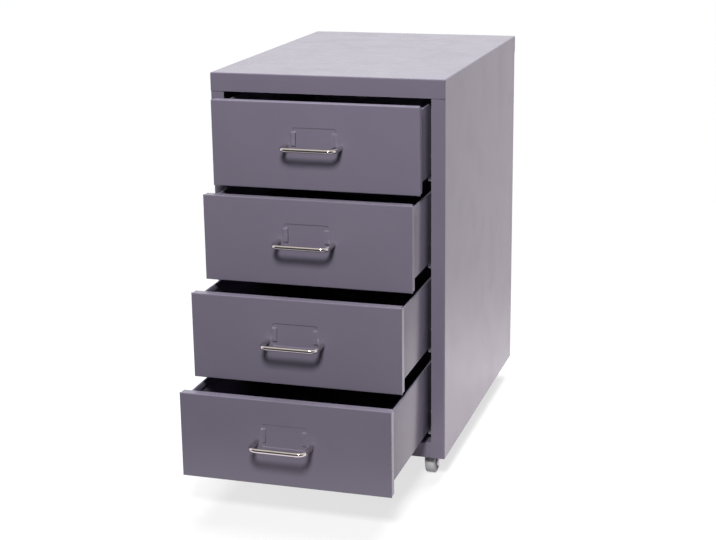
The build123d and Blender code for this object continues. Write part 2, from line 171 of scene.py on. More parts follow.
# %% [markdown]
# The studio. A cut-out product photograph has a white surround, a lamp near the camera's side
# and a broad bright one overhead, a little behind. White paper all round would wash the paint
# out, so the white is only what the camera, and mirror-like surfaces, see: Light Path tells those
# rays apart. All other rays find a dim room. Polished chrome gives away what else is there: a warm
# ceiling makes its upper band beige, and the dark room behind the camera draws the dark line along
# it, so mirror-like surfaces see both.

# %% World
WHITE = (1, 1, 1, 1)
room_grey = (0.05, 0.05, 0.052, 1)
ceiling = (0.84, 0.78, 0.74, 1)
dark_studio = (0.03, 0.028, 0.027, 1)

world = bpy.data.worlds.new("studio")
bpy.context.scene.world = world
world.use_nodes = True
tree = world.node_tree
tree.nodes.clear()


def sees_white(tree, path):
    """1 on rays from the camera, from a glossy surface or through glass, and 0 on the rest."""
    gloss = math_node(tree, "MAXIMUM", (path, "Is Camera Ray"), (path, "Is Glossy Ray"))
    return math_node(tree, "MAXIMUM", (gloss, 0), (path, "Is Transmission Ray"))


path = add(tree, "ShaderNodeLightPath")
direction = add(tree, "ShaderNodeTexCoord")
parts = add(tree, "ShaderNodeSeparateXYZ")
join(tree, direction, "Generated", parts, 0)
ahead = soft_step(tree, parts, "Y", -0.2, -0.6)
low_down = soft_step(tree, parts, "Z", 0.80, 0.40)
dark_part = math_node(tree, "MULTIPLY", (ahead, 0), (low_down, 0))
high_up = soft_step(tree, parts, "Z", 0.45, 0.75)
not_camera = math_node(tree, "SUBTRACT", 1.0, (path, "Is Camera Ray"))
FACTOR, FIRST, SECOND, MIXED = 0, 6, 7, 2  # sockets of a Mix node that mixes colours
surround = None
for colour, part in ((ceiling, high_up), (dark_studio, dark_part)):
    share = math_node(tree, "MULTIPLY", (part, 0), (not_camera, 0))
    mixed = add(tree, "ShaderNodeMix", {FIRST: WHITE, SECOND: colour}, data_type="RGBA")
    if surround:
        join(tree, surround, MIXED, mixed, FIRST)
    join(tree, share, 0, mixed, FACTOR)
    surround = mixed
paper = add(tree, "ShaderNodeBackground", {"Strength": 1.0})
join(tree, surround, MIXED, paper, "Color")
room = add(tree, "ShaderNodeBackground", {"Color": room_grey, "Strength": 1.0})
choice = add(tree, "ShaderNodeMixShader")
join(tree, sees_white(tree, path), 0, choice, "Fac")
join(tree, room, 0, choice, 1)
join(tree, paper, 0, choice, 2)
join(tree, choice, 0, add(tree, "ShaderNodeOutputWorld"), "Surface")
print("world:", len(tree.nodes), "nodes")

# %% [markdown]
# The floor is one large sheet of white paper. An overhead lamp makes a pool of light on such paper, right round the
# cabinet and mostly behind it, which throws light up on the lower part of the sides. A sun lamp can't make a pool, so
# the pool is painted: the paper's colour is paler there, and it is darkest in front, a painted shade. What mirror-like
# surfaces see of the paper is painted too: brightest in the pool, and faintly purple. The white that the camera sees
# is added as emission, over a colour that still takes the cabinet's soft shadow. From below the floor is clear, which
# lets the underside be looked at.

# %% Floor
floor_reach = 30.0
pool_middle = (0.22, 0.12, 0.0)
pool_reach = 0.8
# Painted pool of light: the paper's colour is paler near the cabinet than far away.
paper_far, painted_pool_paper = (0.14, 0.14, 0.145, 1), (0.32, 0.315, 0.32, 1)
# Painted shade: the paper is darkest in front, so less light bounces up onto the fronts.
painted_shade_paper = (0.05, 0.05, 0.05, 1)
white_far, white_near = 0.80, 0.70  # white added for the camera
white_front = 0.2  # and more of it over the painted shade, where the paper is darkest
gloss_far, painted_pool_gloss = 0.84, 1.0  # white added for mirror-like surfaces, more near the cabinet: a painted pool of light
painted_purple_tint = (1.0, 0.90, 1.0, 1)  # a painted reflection: a trace of the purple light that such a cabinet throws round itself
gloss_reach = 0.55
paper_edge = (-0.38, -0.50)  # Y where the painted pool ends and the painted shade begins, in front

floor_mesh = bpy.data.meshes.new("floor")
corners = [(x * floor_reach, y * floor_reach, 0) for x, y in ((-1, -1), (1, -1), (1, 1), (-1, 1))]
floor_mesh.from_pydata(corners, [], [(0, 1, 2, 3)])
floor = bpy.data.objects.new("floor", floor_mesh)
bpy.context.scene.collection.objects.link(floor)

paper_floor = bpy.data.materials.new("paper_floor")
paper_floor.use_nodes = True
tree = paper_floor.node_tree
tree.nodes.clear()
path = add(tree, "ShaderNodeLightPath")
spot = add(tree, "ShaderNodeNewGeometry")
span = add(tree, "ShaderNodeVectorMath", {1: pool_middle}, operation="DISTANCE")
join(tree, spot, "Position", span, 0)
# The painted pool and the painted shade in front are mixed into the paper's diffuse colour.
pool = soft_step(tree, span, "Value", pool_reach, 0.1)
shade = add(tree, "ShaderNodeMix", {FIRST: paper_far, SECOND: painted_pool_paper}, data_type="RGBA")
along = add(tree, "ShaderNodeSeparateXYZ")
join(tree, spot, "Position", along, 0)
in_front = soft_step(tree, along, "Y", *paper_edge)
join(tree, pool, 0, shade, FACTOR)
tone = add(tree, "ShaderNodeMix", {SECOND: painted_shade_paper}, data_type="RGBA")
join(tree, shade, MIXED, tone, FIRST)
join(tree, in_front, 0, tone, FACTOR)
diffuse = add(tree, "ShaderNodeBsdfDiffuse")
join(tree, tone, MIXED, diffuse, "Color")
for_camera = soft_step(tree, span, "Value", pool_reach, 0.1, white_far, white_near)
for_camera = math_node(tree, "MULTIPLY_ADD", (in_front, 0), white_front, (for_camera, 0))
# Painted glow for mirror-like surfaces: brightest in the painted pool, and none over the painted shade in front.
bright = soft_step(tree, span, "Value", gloss_reach, 0.1, gloss_far, painted_pool_gloss)
behind = math_node(tree, "SUBTRACT", 1.0, (in_front, 0))
for_gloss = math_node(tree, "MULTIPLY", (bright, 0), (behind, 0))
camera_part = math_node(tree, "MULTIPLY", (for_camera, 0), (path, "Is Camera Ray"))
gloss_part = math_node(tree, "MULTIPLY", (for_gloss, 0), (path, "Is Glossy Ray"))
added = math_node(tree, "ADD", (camera_part, 0), (gloss_part, 0))
through = math_node(tree, "MULTIPLY_ADD", (for_camera, 0), (path, "Is Transmission Ray"), (added, 0))
# Painted reflection: what glossy rays see of the floor is tinted faintly purple.
painted_tint_mix = add(tree, "ShaderNodeMix", {FIRST: WHITE, SECOND: painted_purple_tint}, data_type="RGBA")
join(tree, path, "Is Glossy Ray", painted_tint_mix, FACTOR)
glow = add(tree, "ShaderNodeEmission")
join(tree, painted_tint_mix, MIXED, glow, "Color")
join(tree, through, 0, glow, "Strength")
both = add(tree, "ShaderNodeAddShader")
join(tree, diffuse, 0, both, 0)
join(tree, glow, 0, both, 1)
from_below = add(tree, "ShaderNodeMixShader")
join(tree, spot, "Backfacing", from_below, "Fac")
join(tree, both, 0, from_below, 1)
join(tree, add(tree, "ShaderNodeBsdfTransparent"), 0, from_below, 2)
join(tree, from_below, 0, add(tree, "ShaderNodeOutputMaterial"), "Surface")
floor_mesh.materials.append(paper_floor)
print("floor:", len(tree.nodes), "nodes")

# %% [markdown]
# Two lamps. The shadow under each handle gives the first away: its edges are fairly crisp, and it
# falls further down on the lower fronts, so that lamp is a square one quite near, over the
# camera's left. The second is broad and comes from above and behind, and Blender's sun with a wide
# angle does that without lighting one end of the cabinet more than the other. Its disc is hidden
# from mirror-like surfaces, which already see the ceiling there.

# %% Lamps
near_lamp_place = Vector((0.29, -1.48, 1.38))
near_lamp_side = 0.34
near_lamp_power = 31.0
lit_place = Vector((0, -0.15, 0.3))

near_lamp_data = bpy.data.lights.new("near_lamp", "AREA")
near_lamp_data.size = near_lamp_side
near_lamp_data.energy = near_lamp_power
near_lamp = bpy.data.objects.new("near_lamp", near_lamp_data)
bpy.context.scene.collection.objects.link(near_lamp)
near_lamp.location = near_lamp_place
near_lamp.rotation_mode = "QUATERNION"
near_lamp.rotation_quaternion = (near_lamp_place - lit_place).to_track_quat("Z", "Y")
near_lamp.visible_camera = False

overhead_azimuth, overhead_height = math.radians(187), math.radians(64)
overhead_data = bpy.data.lights.new("overhead", "SUN")
overhead_data.angle = math.radians(46)
overhead_data.energy = 4.9
overhead = bpy.data.objects.new("overhead", overhead_data)
bpy.context.scene.collection.objects.link(overhead)
overhead.visible_glossy = False
towards = Vector((
    math.sin(overhead_azimuth) * math.cos(overhead_height),
    -math.cos(overhead_azimuth) * math.cos(overhead_height),
    math.sin(overhead_height),
))
overhead.rotation_mode = "QUATERNION"
overhead.rotation_quaternion = towards.to_track_quat("Z", "Y")
bpy.context.scene.view_settings.view_transform = "Standard"
print("lamps:", near_lamp_data.type, overhead_data.type)

# %% [markdown]
# Effects that several finishes share. Each is a group that gives one number over the surface. Orange peel is the fine
# dimpling of baked powder paint. Ripple is the slow waviness of thin sheet, which only shows in reflections. Smudges
# are where hands and cloths have been. Edge wear and sheen compares the true normal with one rounded by the Bevel
# node: they differ only near an edge. On the wheel it gives scuffs, and on the paint it gives a paler line that is
# partly thin powder and partly a painted highlight. Dust settles where the surface faces up. Rubbing draws streaks
# along Y, the way the drawers run.

# %% Orange peel, ripple and smudges
peel, entry, leave = new_group("orange_peel", {"Scale": 900.0}, "Height")
grain = noise(peel, (entry, "Scale"), detail=3.0)
join(peel, grain, "Fac", leave, "Height")

ripple, entry, leave = new_group("sheet_ripple", {"Scale": 9.0}, "Height")
waves = noise(ripple, (entry, "Scale"), detail=1.0, stretch=(1.0, 0.6, 1.4))
join(ripple, waves, "Fac", leave, "Height")

smudges, entry, leave = new_group("smudges", {"Scale": 22.0, "Amount": 0.1}, "Change")
clouds = noise(smudges, (entry, "Scale"), detail=5.0)
patches = soft_step(smudges, clouds, "Fac", 0.42, 0.68, -0.3, 1.0)
change = math_node(smudges, "MULTIPLY", (patches, 0), (entry, "Amount"))
join(smudges, change, 0, leave, "Change")
print("groups:", peel.name, ripple.name, smudges.name)

# %% Edge wear and painted sheen, dust and rubbing
bevel_samples = 6

# Near an edge, broken into patches: scuffs on the wheel, and on the paint a paler line that is partly a painted
# highlight.
wear_and_sheen, entry, leave = new_group("edge_wear_and_sheen", {"Radius": 0.0008, "Amount": 0.5, "Scale": 160.0}, "Mask")
true_shape = add(wear_and_sheen, "ShaderNodeNewGeometry")
rounded_shape = add(wear_and_sheen, "ShaderNodeBevel", samples=bevel_samples)
join(wear_and_sheen, entry, "Radius", rounded_shape, "Radius")
same = add(wear_and_sheen, "ShaderNodeVectorMath", operation="DOT_PRODUCT")
join(wear_and_sheen, true_shape, "Normal", same, 0)
join(wear_and_sheen, rounded_shape, "Normal", same, 1)
near_edge = soft_step(wear_and_sheen, same, "Value", 0.99, 0.86)
patchy_noise = noise(wear_and_sheen, (entry, "Scale"), detail=4.0)
broken_up = soft_step(wear_and_sheen, patchy_noise, "Fac", 0.40, 0.62, 0.25, 1.0)
mask = math_node(wear_and_sheen, "MULTIPLY", (near_edge, 0), (broken_up, 0))
mask = math_node(wear_and_sheen, "MULTIPLY", (mask, 0), (entry, "Amount"))
join(wear_and_sheen, mask, 0, leave, "Mask")

dust, entry, leave = new_group("dust", {"Scale": 60.0, "Amount": 0.1}, "Mask")
shape = add(dust, "ShaderNodeNewGeometry")
lie = add(dust, "ShaderNodeSeparateXYZ")
join(dust, shape, "Normal", lie, 0)
facing_up = soft_step(dust, lie, "Z", 0.45, 0.98)
specks = noise(dust, (entry, "Scale"), detail=6.0)
settled = soft_step(dust, specks, "Fac", 0.38, 0.72)
mask = math_node(dust, "MULTIPLY", (facing_up, 0), (settled, 0))
mask = math_node(dust, "MULTIPLY", (mask, 0), (entry, "Amount"))
join(dust, mask, 0, leave, "Mask")

rubbing, entry, leave = new_group("rubbing", {"Scale": 420.0, "Amount": 0.3}, "Mask")
streaks = noise(rubbing, (entry, "Scale"), detail=3.0, stretch=(1.0, 0.03, 1.0))
rubbed = soft_step(rubbing, streaks, "Fac", 0.50, 0.72)
mask = math_node(rubbing, "MULTIPLY", (rubbed, 0), (entry, "Amount"))
join(rubbing, mask, 0, leave, "Mask")
print("groups:", wear_and_sheen.name, dust.name, rubbing.name)

# %% [markdown]
# The paint is baked powder: a mid grey with a breath of purple, semi-gloss, so that the chrome legs
# of the handles are mirrored softly beside them. It could be one Principled shader with a colour.
# The steps here add what makes it paint on a pressed sheet: a slight drift of tone, a paler line along edges and folds
# that is partly the powder drawn thin and partly a painted highlight, dust on top, and the two scales of bump.

# %% Paint
PAINT = (0.178, 0.158, 0.212, 1)
PAINT_DEEP = (0.172, 0.152, 0.206, 1)
# Paler paint near edges: partly powder drawn thin, partly a painted highlight.
PAINT_THIN_AND_SHEEN = (0.34, 0.33, 0.37, 1)
DUST = (0.42, 0.41, 0.40, 1)
BARE_STEEL = (0.42, 0.42, 0.43, 1)


def new_material(name):
    """A material with a Principled shader, returned with its tree and shader."""
    material = bpy.data.materials.new(name)
    material.use_nodes = True
    return material, material.node_tree, material.node_tree.nodes["Principled BSDF"]


def layer(tree, under, over, mask, output=0):
    """Mix a colour over another by a mask. The one under is a colour, or a node that mixed two."""
    mixed = add(tree, "ShaderNodeMix", {SECOND: over}, data_type="RGBA")
    if isinstance(under, tuple):
        mixed.inputs[FIRST].default_value = under
    else:
        join(tree, under, MIXED, mixed, FIRST)
    join(tree, mask, output, mixed, FACTOR)
    return mixed


def bumps(tree, shader, *heights):
    """Chain Bump nodes. Each height is a node, the output that gives it, and its depth in metres."""
    last = None
    for source, output, depth in heights:
        bump = add(tree, "ShaderNodeBump", {"Strength": 1.0, "Distance": depth})
        join(tree, source, output, bump, "Height")
        if last:
            join(tree, last, 0, bump, "Normal")
        last = bump
    join(tree, last, 0, shader, "Normal")


def changing_roughness(tree, shader, base, change, output=0):
    """Roughness that a number moves up and down from its base."""
    total = math_node(tree, "ADD", (change, output), base)
    total.use_clamp = True
    join(tree, total, 0, shader, "Roughness")


def powder_paint(name, roughness, wear_and_sheen_amount, dust_amount, rub_amount=0.0):
    """Powder paint on sheet steel, with its own amounts of edge wear and painted highlight, dust and rubbing."""
    material, tree, shader = new_material(name)
    drift = soft_step(tree, noise(tree, 14.0, detail=3.0), "Fac", 0.3, 0.7)
    colour = layer(tree, PAINT, PAINT_DEEP, drift)
    # Paler near edges and folds: partly thin powder, partly a painted highlight.
    colour = layer(tree, colour, PAINT_THIN_AND_SHEEN, use(tree, wear_and_sheen, Amount=wear_and_sheen_amount))
    if rub_amount:
        colour = layer(tree, colour, BARE_STEEL, use(tree, rubbing, Amount=rub_amount))
    colour = layer(tree, colour, DUST, use(tree, dust, Amount=dust_amount))
    join(tree, colour, MIXED, shader, "Base Color")
    changing_roughness(tree, shader, roughness, use(tree, smudges, Amount=0.025))
    shader.inputs["IOR"].default_value = 1.5
    bumps(tree, shader, (use(tree, ripple), 0, 0.00006), (use(tree, peel), 0, 0.00002))
    return material


finishes = {
    "cabinet_paint": powder_paint("cabinet_paint", 0.24, 0.35, 0.08),
    "drawer_paint": powder_paint("drawer_paint", 0.24, 0.45, 0.05),
    "runner_paint": powder_paint("runner_paint", 0.30, 0.60, 0.05, rub_amount=0.55),
}
print("paints:", list(finishes))

# %% [markdown]
# Chrome, zinc, and the two plastics. Chrome is a mirror with the faint haze of fingers. Zinc plate
# is duller and mottled by its crystals. The wheel is moulded in pale grey, scuffed where it rolls,
# and the glide is natural nylon, which lets a little light in and polishes where it slides.

# %% Metals
def plated(name, bright, dull, roughness, haze, mottle_scale, grain_depth):
    """A plated metal: a base tone, a duller tone in patches, haze on its gloss, and fine grain."""
    material, tree, shader = new_material(name)
    patches = soft_step(tree, noise(tree, mottle_scale, detail=4.0), "Fac", 0.35, 0.70)
    colour = layer(tree, bright, dull, patches)
    colour = layer(tree, colour, dull, use(tree, dust, Amount=0.12))
    join(tree, colour, MIXED, shader, "Base Color")
    shader.inputs["Metallic"].default_value = 1.0
    changing_roughness(tree, shader, roughness, use(tree, smudges, Scale=60.0, Amount=haze))
    bumps(tree, shader, (use(tree, peel, Scale=2200.0), 0, grain_depth))
    return material


finishes["handle_chrome"] = plated(
    "handle_chrome", (0.68, 0.645, 0.63, 1), (0.62, 0.59, 0.575, 1), 0.035, 0.03, 90.0, 0.000001
)
finishes["screw_zinc"] = plated(
    "screw_zinc", (0.62, 0.62, 0.63, 1), (0.42, 0.42, 0.43, 1), 0.31, 0.10, 420.0, 0.00001
)
finishes["caster_zinc"] = plated(
    "caster_zinc", (0.60, 0.60, 0.61, 1), (0.38, 0.38, 0.39, 1), 0.32, 0.12, 260.0, 0.00002
)

# %% Plastics
WHEEL = (0.60, 0.60, 0.60, 1)
WHEEL_SCUFF = (0.34, 0.34, 0.33, 1)
NYLON = (0.75, 0.74, 0.70, 1)
NYLON_POLISHED = (0.58, 0.56, 0.52, 1)

material, tree, shader = new_material("wheel_plastic")
colour = layer(tree, WHEEL, WHEEL_SCUFF, use(tree, wear_and_sheen, Radius=0.0012, Amount=0.55, Scale=500.0))
scuffs = soft_step(tree, noise(tree, 700.0, detail=5.0, stretch=(0.25, 1, 1)), "Fac", 0.60, 0.75, 0, 0.35)
colour = layer(tree, colour, WHEEL_SCUFF, scuffs)
colour = layer(tree, colour, DUST, use(tree, dust, Amount=0.15))
join(tree, colour, MIXED, shader, "Base Color")
changing_roughness(tree, shader, 0.42, use(tree, smudges, Scale=120.0, Amount=0.10))
bumps(tree, shader, (use(tree, peel, Scale=1600.0), 0, 0.00003))
finishes["wheel_plastic"] = material

material, tree, shader = new_material("glide_nylon")
colour = layer(tree, NYLON, NYLON_POLISHED, use(tree, rubbing, Scale=900.0, Amount=0.5))
join(tree, colour, MIXED, shader, "Base Color")
shader.inputs["Subsurface Weight"].default_value = 0.12
shader.inputs["Subsurface Scale"].default_value = 0.002
changing_roughness(tree, shader, 0.38, use(tree, smudges, Scale=200.0, Amount=0.12))
bumps(tree, shader, (use(tree, peel, Scale=1800.0), 0, 0.00002))
finishes["glide_nylon"] = material
print("finishes:", sorted(finishes))

# %% [markdown]
# Every node of the frame takes its finish by the record's slot name. The ones that are modelled
# again further down are hidden there, and their replacements take the same slots.

# %% Finishes on the frame's nodes
slot_of = {part["node"]: part["material_slot"] for part in frame["record"]["subparts"]}
body_of = {node: body for body, names in frame["record"]["behaviour"]["bodies"].items() for node in names}
for name, node in nodes.items():
    node.material_slots[0].material = finishes[slot_of[name]]
print("dressed", len(slot_of), "nodes")

# %% [markdown]
# Helpers for meshes. A piece is made from points and faces, takes the finish, the body and the slot
# of the node that it stands for, and hides that node. Its modifiers are turned into plain mesh at
# once, so that only true corners stay sharp: set_sharp_from_angle needs the final faces. Edges of
# cut sheet get a very small bevel, because an edge without one never catches the light.

# %% Helpers for meshes
def sheet_modifiers(piece, thickness, side, edge=0.00015):
    """Give an open surface the thickness of a sheet, and take the sharpness off its cut edges."""
    solidify = piece.modifiers.new("thickness", "SOLIDIFY")
    solidify.thickness = thickness
    solidify.offset = side
    if edge:
        bevel = piece.modifiers.new("edges", "BEVEL")
        bevel.width = edge
        bevel.segments = 2
        bevel.limit_method = "ANGLE"
        bevel.angle_limit = math.radians(60)


def settle(piece, crease=32):
    """Turn modifiers into mesh, drop loose points, turn faces out, and smooth all but true corners."""
    rough = piece.data
    depsgraph = bpy.context.evaluated_depsgraph_get()
    final = bpy.data.meshes.new_from_object(piece.evaluated_get(depsgraph))
    piece.modifiers.clear()
    piece.data = final
    bpy.data.meshes.remove(rough)
    final.name = piece.name
    shape = bmesh.new()
    shape.from_mesh(final)
    loose = [vert for vert in shape.verts if not vert.link_faces]
    bmesh.ops.delete(shape, geom=loose, context="VERTS")
    bmesh.ops.remove_doubles(shape, verts=shape.verts, dist=1e-7)
    bmesh.ops.recalc_face_normals(shape, faces=shape.faces)
    shape.to_mesh(final)
    shape.free()
    final.shade_smooth()
    final.set_sharp_from_angle(angle=math.radians(crease))


def stand_for(piece, *replaced):
    """Let a piece take the place, the body, the slot and the finish of the nodes it replaces."""
    first = replaced[0]
    piece.data.materials.clear()
    piece.data.materials.append(finishes[slot_of[first]])
    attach(piece, body_of[first])
    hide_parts(*replaced)


def new_piece(name, points, faces):
    """An object from points and faces."""
    mesh = bpy.data.meshes.new(name)
    mesh.from_pydata(points, [], faces)
    piece = bpy.data.objects.new(name, mesh)
    bpy.context.scene.collection.objects.link(piece)
    return piece


def smooth(value):
    """A soft step from 0 to 1 as the value goes from 0 to 1."""
    value = min(max(value, 0.0), 1.0)
    return value * value * (3 - 2 * value)


# %% [markdown]
# A drawer front is one pressed sheet. Its four borders are folded back over a small radius, with
# the corners notched, and the middle carries a shallow pocket for a label card. At each end of the
# pocket a half-moon ear is cut through and pushed out, and the card slides behind it. A boolean
# would give hard edges, so the face is a grid whose lines crowd together where the press has
# worked, and a height function moves it in and out. The slit beside each ear is a column of faces
# left out where the grid steps. The borders are rings of points carried round the fold.

# %% Drawer fronts
DRAWERS = range(1, len([name for name in nodes if name.endswith("_front")]) + 1)
sheet = 0.8 * MM
front_depth = 10.0 * MM
front_bend = 1.2 * MM
corner_notch = 1.6 * MM
bend_steps = 5

pocket_half_width = 26.5 * MM
pocket_low, pocket_high = 44.0 * MM, 71.5 * MM  # above the lower edge of the front
pocket_depth = 0.9 * MM
pocket_corner = 3.0 * MM
pocket_wall = 1.3 * MM
ear_inner, ear_outer = 21.5 * MM, 28.4 * MM
ear_low, ear_high = 48.5 * MM, 67.0 * MM
ear_rise = 0.9 * MM
ear_ramp = 2.6 * MM
slit = 0.12 * MM


def into_pocket(x, z):
    """How far the label pocket is pressed in at a place on the face."""
    dx = abs(x) - pocket_half_width + pocket_corner
    dz = abs(z - (pocket_low + pocket_high) / 2) - (pocket_high - pocket_low) / 2 + pocket_corner
    outside = math.hypot(max(dx, 0), max(dz, 0)) + min(max(dx, dz), 0) - pocket_corner
    return pocket_depth * smooth(-outside / pocket_wall)


def on_ear(x, z):
    """1 on the raised part of an ear and 0 off it."""
    across = smooth((ear_outer - abs(x)) / ear_ramp)
    upright = smooth((z - ear_low) / ear_ramp) * smooth((ear_high - z) / ear_ramp)
    return across * upright if abs(x) > ear_inner - slit / 2 else 0.0


def pressed_in(x, z):
    """Depth of the face at a place: pocket and ears together."""
    ear = on_ear(x, z)
    return (1 - ear) * into_pocket(x, z) - ear * ear_rise


def grid_lines(end_low, end_high, coarse, fine_spans, fine):
    """Places of grid lines: coarse all over, and fine in the spans where the press has worked."""
    count = round((end_high - end_low) / coarse)
    places = [end_low + (end_high - end_low) * i / count for i in range(count + 1)]
    for low, high in fine_spans:
        places = [p for p in places if not low - fine < p < high + fine]
        count = math.ceil((high - low) / fine)
        places += [low + (high - low) * i / count for i in range(count + 1)]
    return sorted(places)


def pressed_front(number):
    """The front of a drawer, as a grid, folded borders and thickness."""
    node = f"drawer_{number}_front"
    low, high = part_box(node)
    half = high.x
    height = high.z - low.z
    face = high.y - front_depth
    reach = half - front_bend
    fine = 0.42 * MM
    work = (pocket_half_width - 2 * MM, pocket_half_width + 2.4 * MM)
    columns = grid_lines(ear_inner, reach, 6 * MM, [work], fine)
    columns = [x for x in columns if x < half - corner_notch - MM] + [half - corner_notch, reach]
    inner = grid_lines(0, ear_inner - slit, 4.3 * MM, [], fine)
    columns = sorted({-x for x in inner + columns} | {x for x in inner + columns})
    rows = grid_lines(
        front_bend,
        height - front_bend,
        6 * MM,
        [(pocket_low - MM, pocket_low + 2 * MM), (ear_low - MM, ear_low + 3.2 * MM),
         (ear_high - 3.2 * MM, pocket_high + MM)],
        fine,
    )
    rows = [z for z in rows if corner_notch + MM < z < height - corner_notch - MM]
    rows = [front_bend, corner_notch] + rows + [height - corner_notch, height - front_bend]
    wide, tall = len(columns), len(rows)
    points = [(x, face + pressed_in(x, z), low.z + z) for z in rows for x in columns]
    slit_sides = {columns.index(x) for x in columns if abs(abs(x) - ear_inner + slit / 2) < slit}
    faces = []
    for j in range(tall - 1):
        through = ear_low + 0.4 * ear_ramp < rows[j] and rows[j + 1] < ear_high - 0.4 * ear_ramp
        for i in range(wide - 1):
            if not (through and i in slit_sides and i + 1 in slit_sides):
                a = j * wide + i
                faces.append((a, a + 1, a + 1 + wide, a + wide))

    border = [(i, 0) for i in range(wide)] + [(wide - 1, j) for j in range(1, tall)]
    border += [(i, tall - 1) for i in range(wide - 2, -1, -1)] + [(0, j) for j in range(tall - 2, 0, -1)]
    turns = [math.radians(90) * (step + 1) / bend_steps for step in range(bend_steps)]
    rings = [(front_bend * math.sin(a), front_bend * (1 - math.cos(a))) for a in turns]
    rings += [(front_bend, front_bend + sheet), (front_bend, front_depth)]
    before = [j * wide + i for i, j in border]
    for ring, (out, back) in enumerate(rings):
        start = len(points)
        for i, j in border:
            along_x = (i == wide - 1) - (i == 0)
            along_z = (j == tall - 1) - (j == 0)
            points.append((columns[i] + along_x * out, face + back, low.z + rows[j] + along_z * out))
        now = list(range(start, len(points)))
        for n in range(len(border)):
            m = (n + 1) % len(border)
            ends = (border[n], border[m])
            at_corner = any(i in (0, wide - 1) and j in (0, tall - 1) for i, j in ends)
            if not (at_corner and ring == len(rings) - 1):
                faces.append((before[n], now[n], now[m], before[m]))
        before = now
    piece = new_piece(f"front_{number}", points, faces)
    sheet_modifiers(piece, sheet, -1, edge=0)
    settle(piece, crease=50)
    stand_for(piece, node)
    return len(piece.data.polygons)


print("fronts, faces each:", [pressed_front(number) for number in DRAWERS])

# %% [markdown]
# A drawer's tray is one long sheet folded up on both sides, and its rims are hemmed: rolled over
# inwards so that no cut edge meets the hand. A path across the tray, carried along Y and given
# thickness, makes all of it. The path's corners are rounded by a small function that swings one
# arm into the other, which also rolls the hem when its radius is half the hem's width.

# %% Trays
tray_bend = 1.2 * MM
hem_width = 2.4 * MM
hem_height = 7.0 * MM
tab_width = 12.0 * MM


def rounded(corners, radius, steps=6):
    """Points of a path of straight runs, with each corner rounded."""
    corners = [Vector(corner) for corner in corners]
    points = [corners[0]]
    for before, corner, after in zip(corners, corners[1:], corners[2:]):
        back, on = (before - corner).normalized(), (after - corner).normalized()
        half = back.angle(on) / 2
        middle = corner + (back + on).normalized() * radius / math.sin(half)
        first = corner + back * radius / math.tan(half) - middle
        last = corner + on * radius / math.tan(half) - middle
        sweep = first.angle(last)
        for step in range(steps + 1):
            t = step / steps
            share = math.sin((1 - t) * sweep), math.sin(t * sweep)
            points.append(middle + (first * share[0] + last * share[1]) / math.sin(sweep))
    return points + [corners[-1]]


def drawn_along_y(path, y_low, y_high):
    """Points and faces of a path across X and Z, drawn out between two places along Y."""
    points = [(x, y, z) for x, z in path for y in (y_low, y_high)]
    faces = [(2 * i, 2 * i + 1, 2 * i + 3, 2 * i + 2) for i in range(len(path) - 1)]
    return points, faces


def folded_tray(number):
    """Bottom and side walls with hemmed rims, and the tabs that are welded to the front."""
    node = f"drawer_{number}_tray"
    low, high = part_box(node)
    half_sheet = sheet / 2
    side = high.x - half_sheet
    hem_inner = high.x - hem_width + half_sheet
    floor_level, rim = low.z + half_sheet, high.z - half_sheet
    hem_end = high.z - hem_height
    section = rounded(
        [(-hem_inner, hem_end), (-hem_inner, rim), (-side, rim), (-side, floor_level),
         (side, floor_level), (side, rim), (hem_inner, rim), (hem_inner, hem_end)],
        (hem_width - sheet) / 2 * 0.98,
    )
    points, faces = drawn_along_y(section, low.y, high.y)
    tab_y = low.y + half_sheet
    for edge in (-1, 1):
        start = len(points)
        inner = edge * (side - tab_width)
        low_z, high_z = floor_level + tray_bend, hem_end - MM
        points += [(edge * side, tab_y, low_z), (inner, tab_y, low_z + MM),
                   (inner, tab_y, high_z - MM), (edge * side, tab_y, high_z)]
        faces.append((start, start + 1, start + 2, start + 3))
    piece = new_piece(f"tray_{number}", points, faces)
    sheet_modifiers(piece, sheet, 0)
    settle(piece)
    stand_for(piece, node)
    return len(piece.data.polygons)


print("trays, faces each:", [folded_tray(number) for number in DRAWERS])

# %% [markdown]
# Round things. A lathe turns a profile round an axis, and so does this helper: each point of the
# profile is a place along the axis and a radius. Blender's Screw modifier could do it too, but
# points written out by a loop need no object to hold the axis. The wheel's profile has rounded
# shoulders, the fine line where the two halves of its mould met, a dished face and a hub. The
# axle's ends are spread into domes, as a riveted axle's are.

# %% Wheels and axles
turning_steps = 64
wheel_round = 2.0 * MM
wheel_dish = 1.6 * MM
hub_radius = 5.5 * MM
axle_radius = 2.0 * MM
axle_bore = 2.05 * MM
axle_head_height = 1.0 * MM
mould_line = 0.12 * MM


def turned(profile, centre, closed):
    """Points and faces of a profile of (place along X, radius), turned round X through a centre."""
    points, faces = [], []
    count = len(profile)
    for step in range(turning_steps):
        angle = 2 * math.pi * step / turning_steps
        for along, radius in profile:
            points.append((along, centre.y + radius * math.cos(angle), centre.z + radius * math.sin(angle)))
    for step in range(turning_steps):
        here, there = step * count, (step + 1) % turning_steps * count
        for i in range(count if closed else count - 1):
            j = (i + 1) % count
            faces.append((here + i, here + j, there + j, there + i))
    if not closed:
        faces.append(tuple(step * count for step in range(turning_steps)))
        faces.append(tuple(step * count + count - 1 for step in range(turning_steps)))
    return points, faces


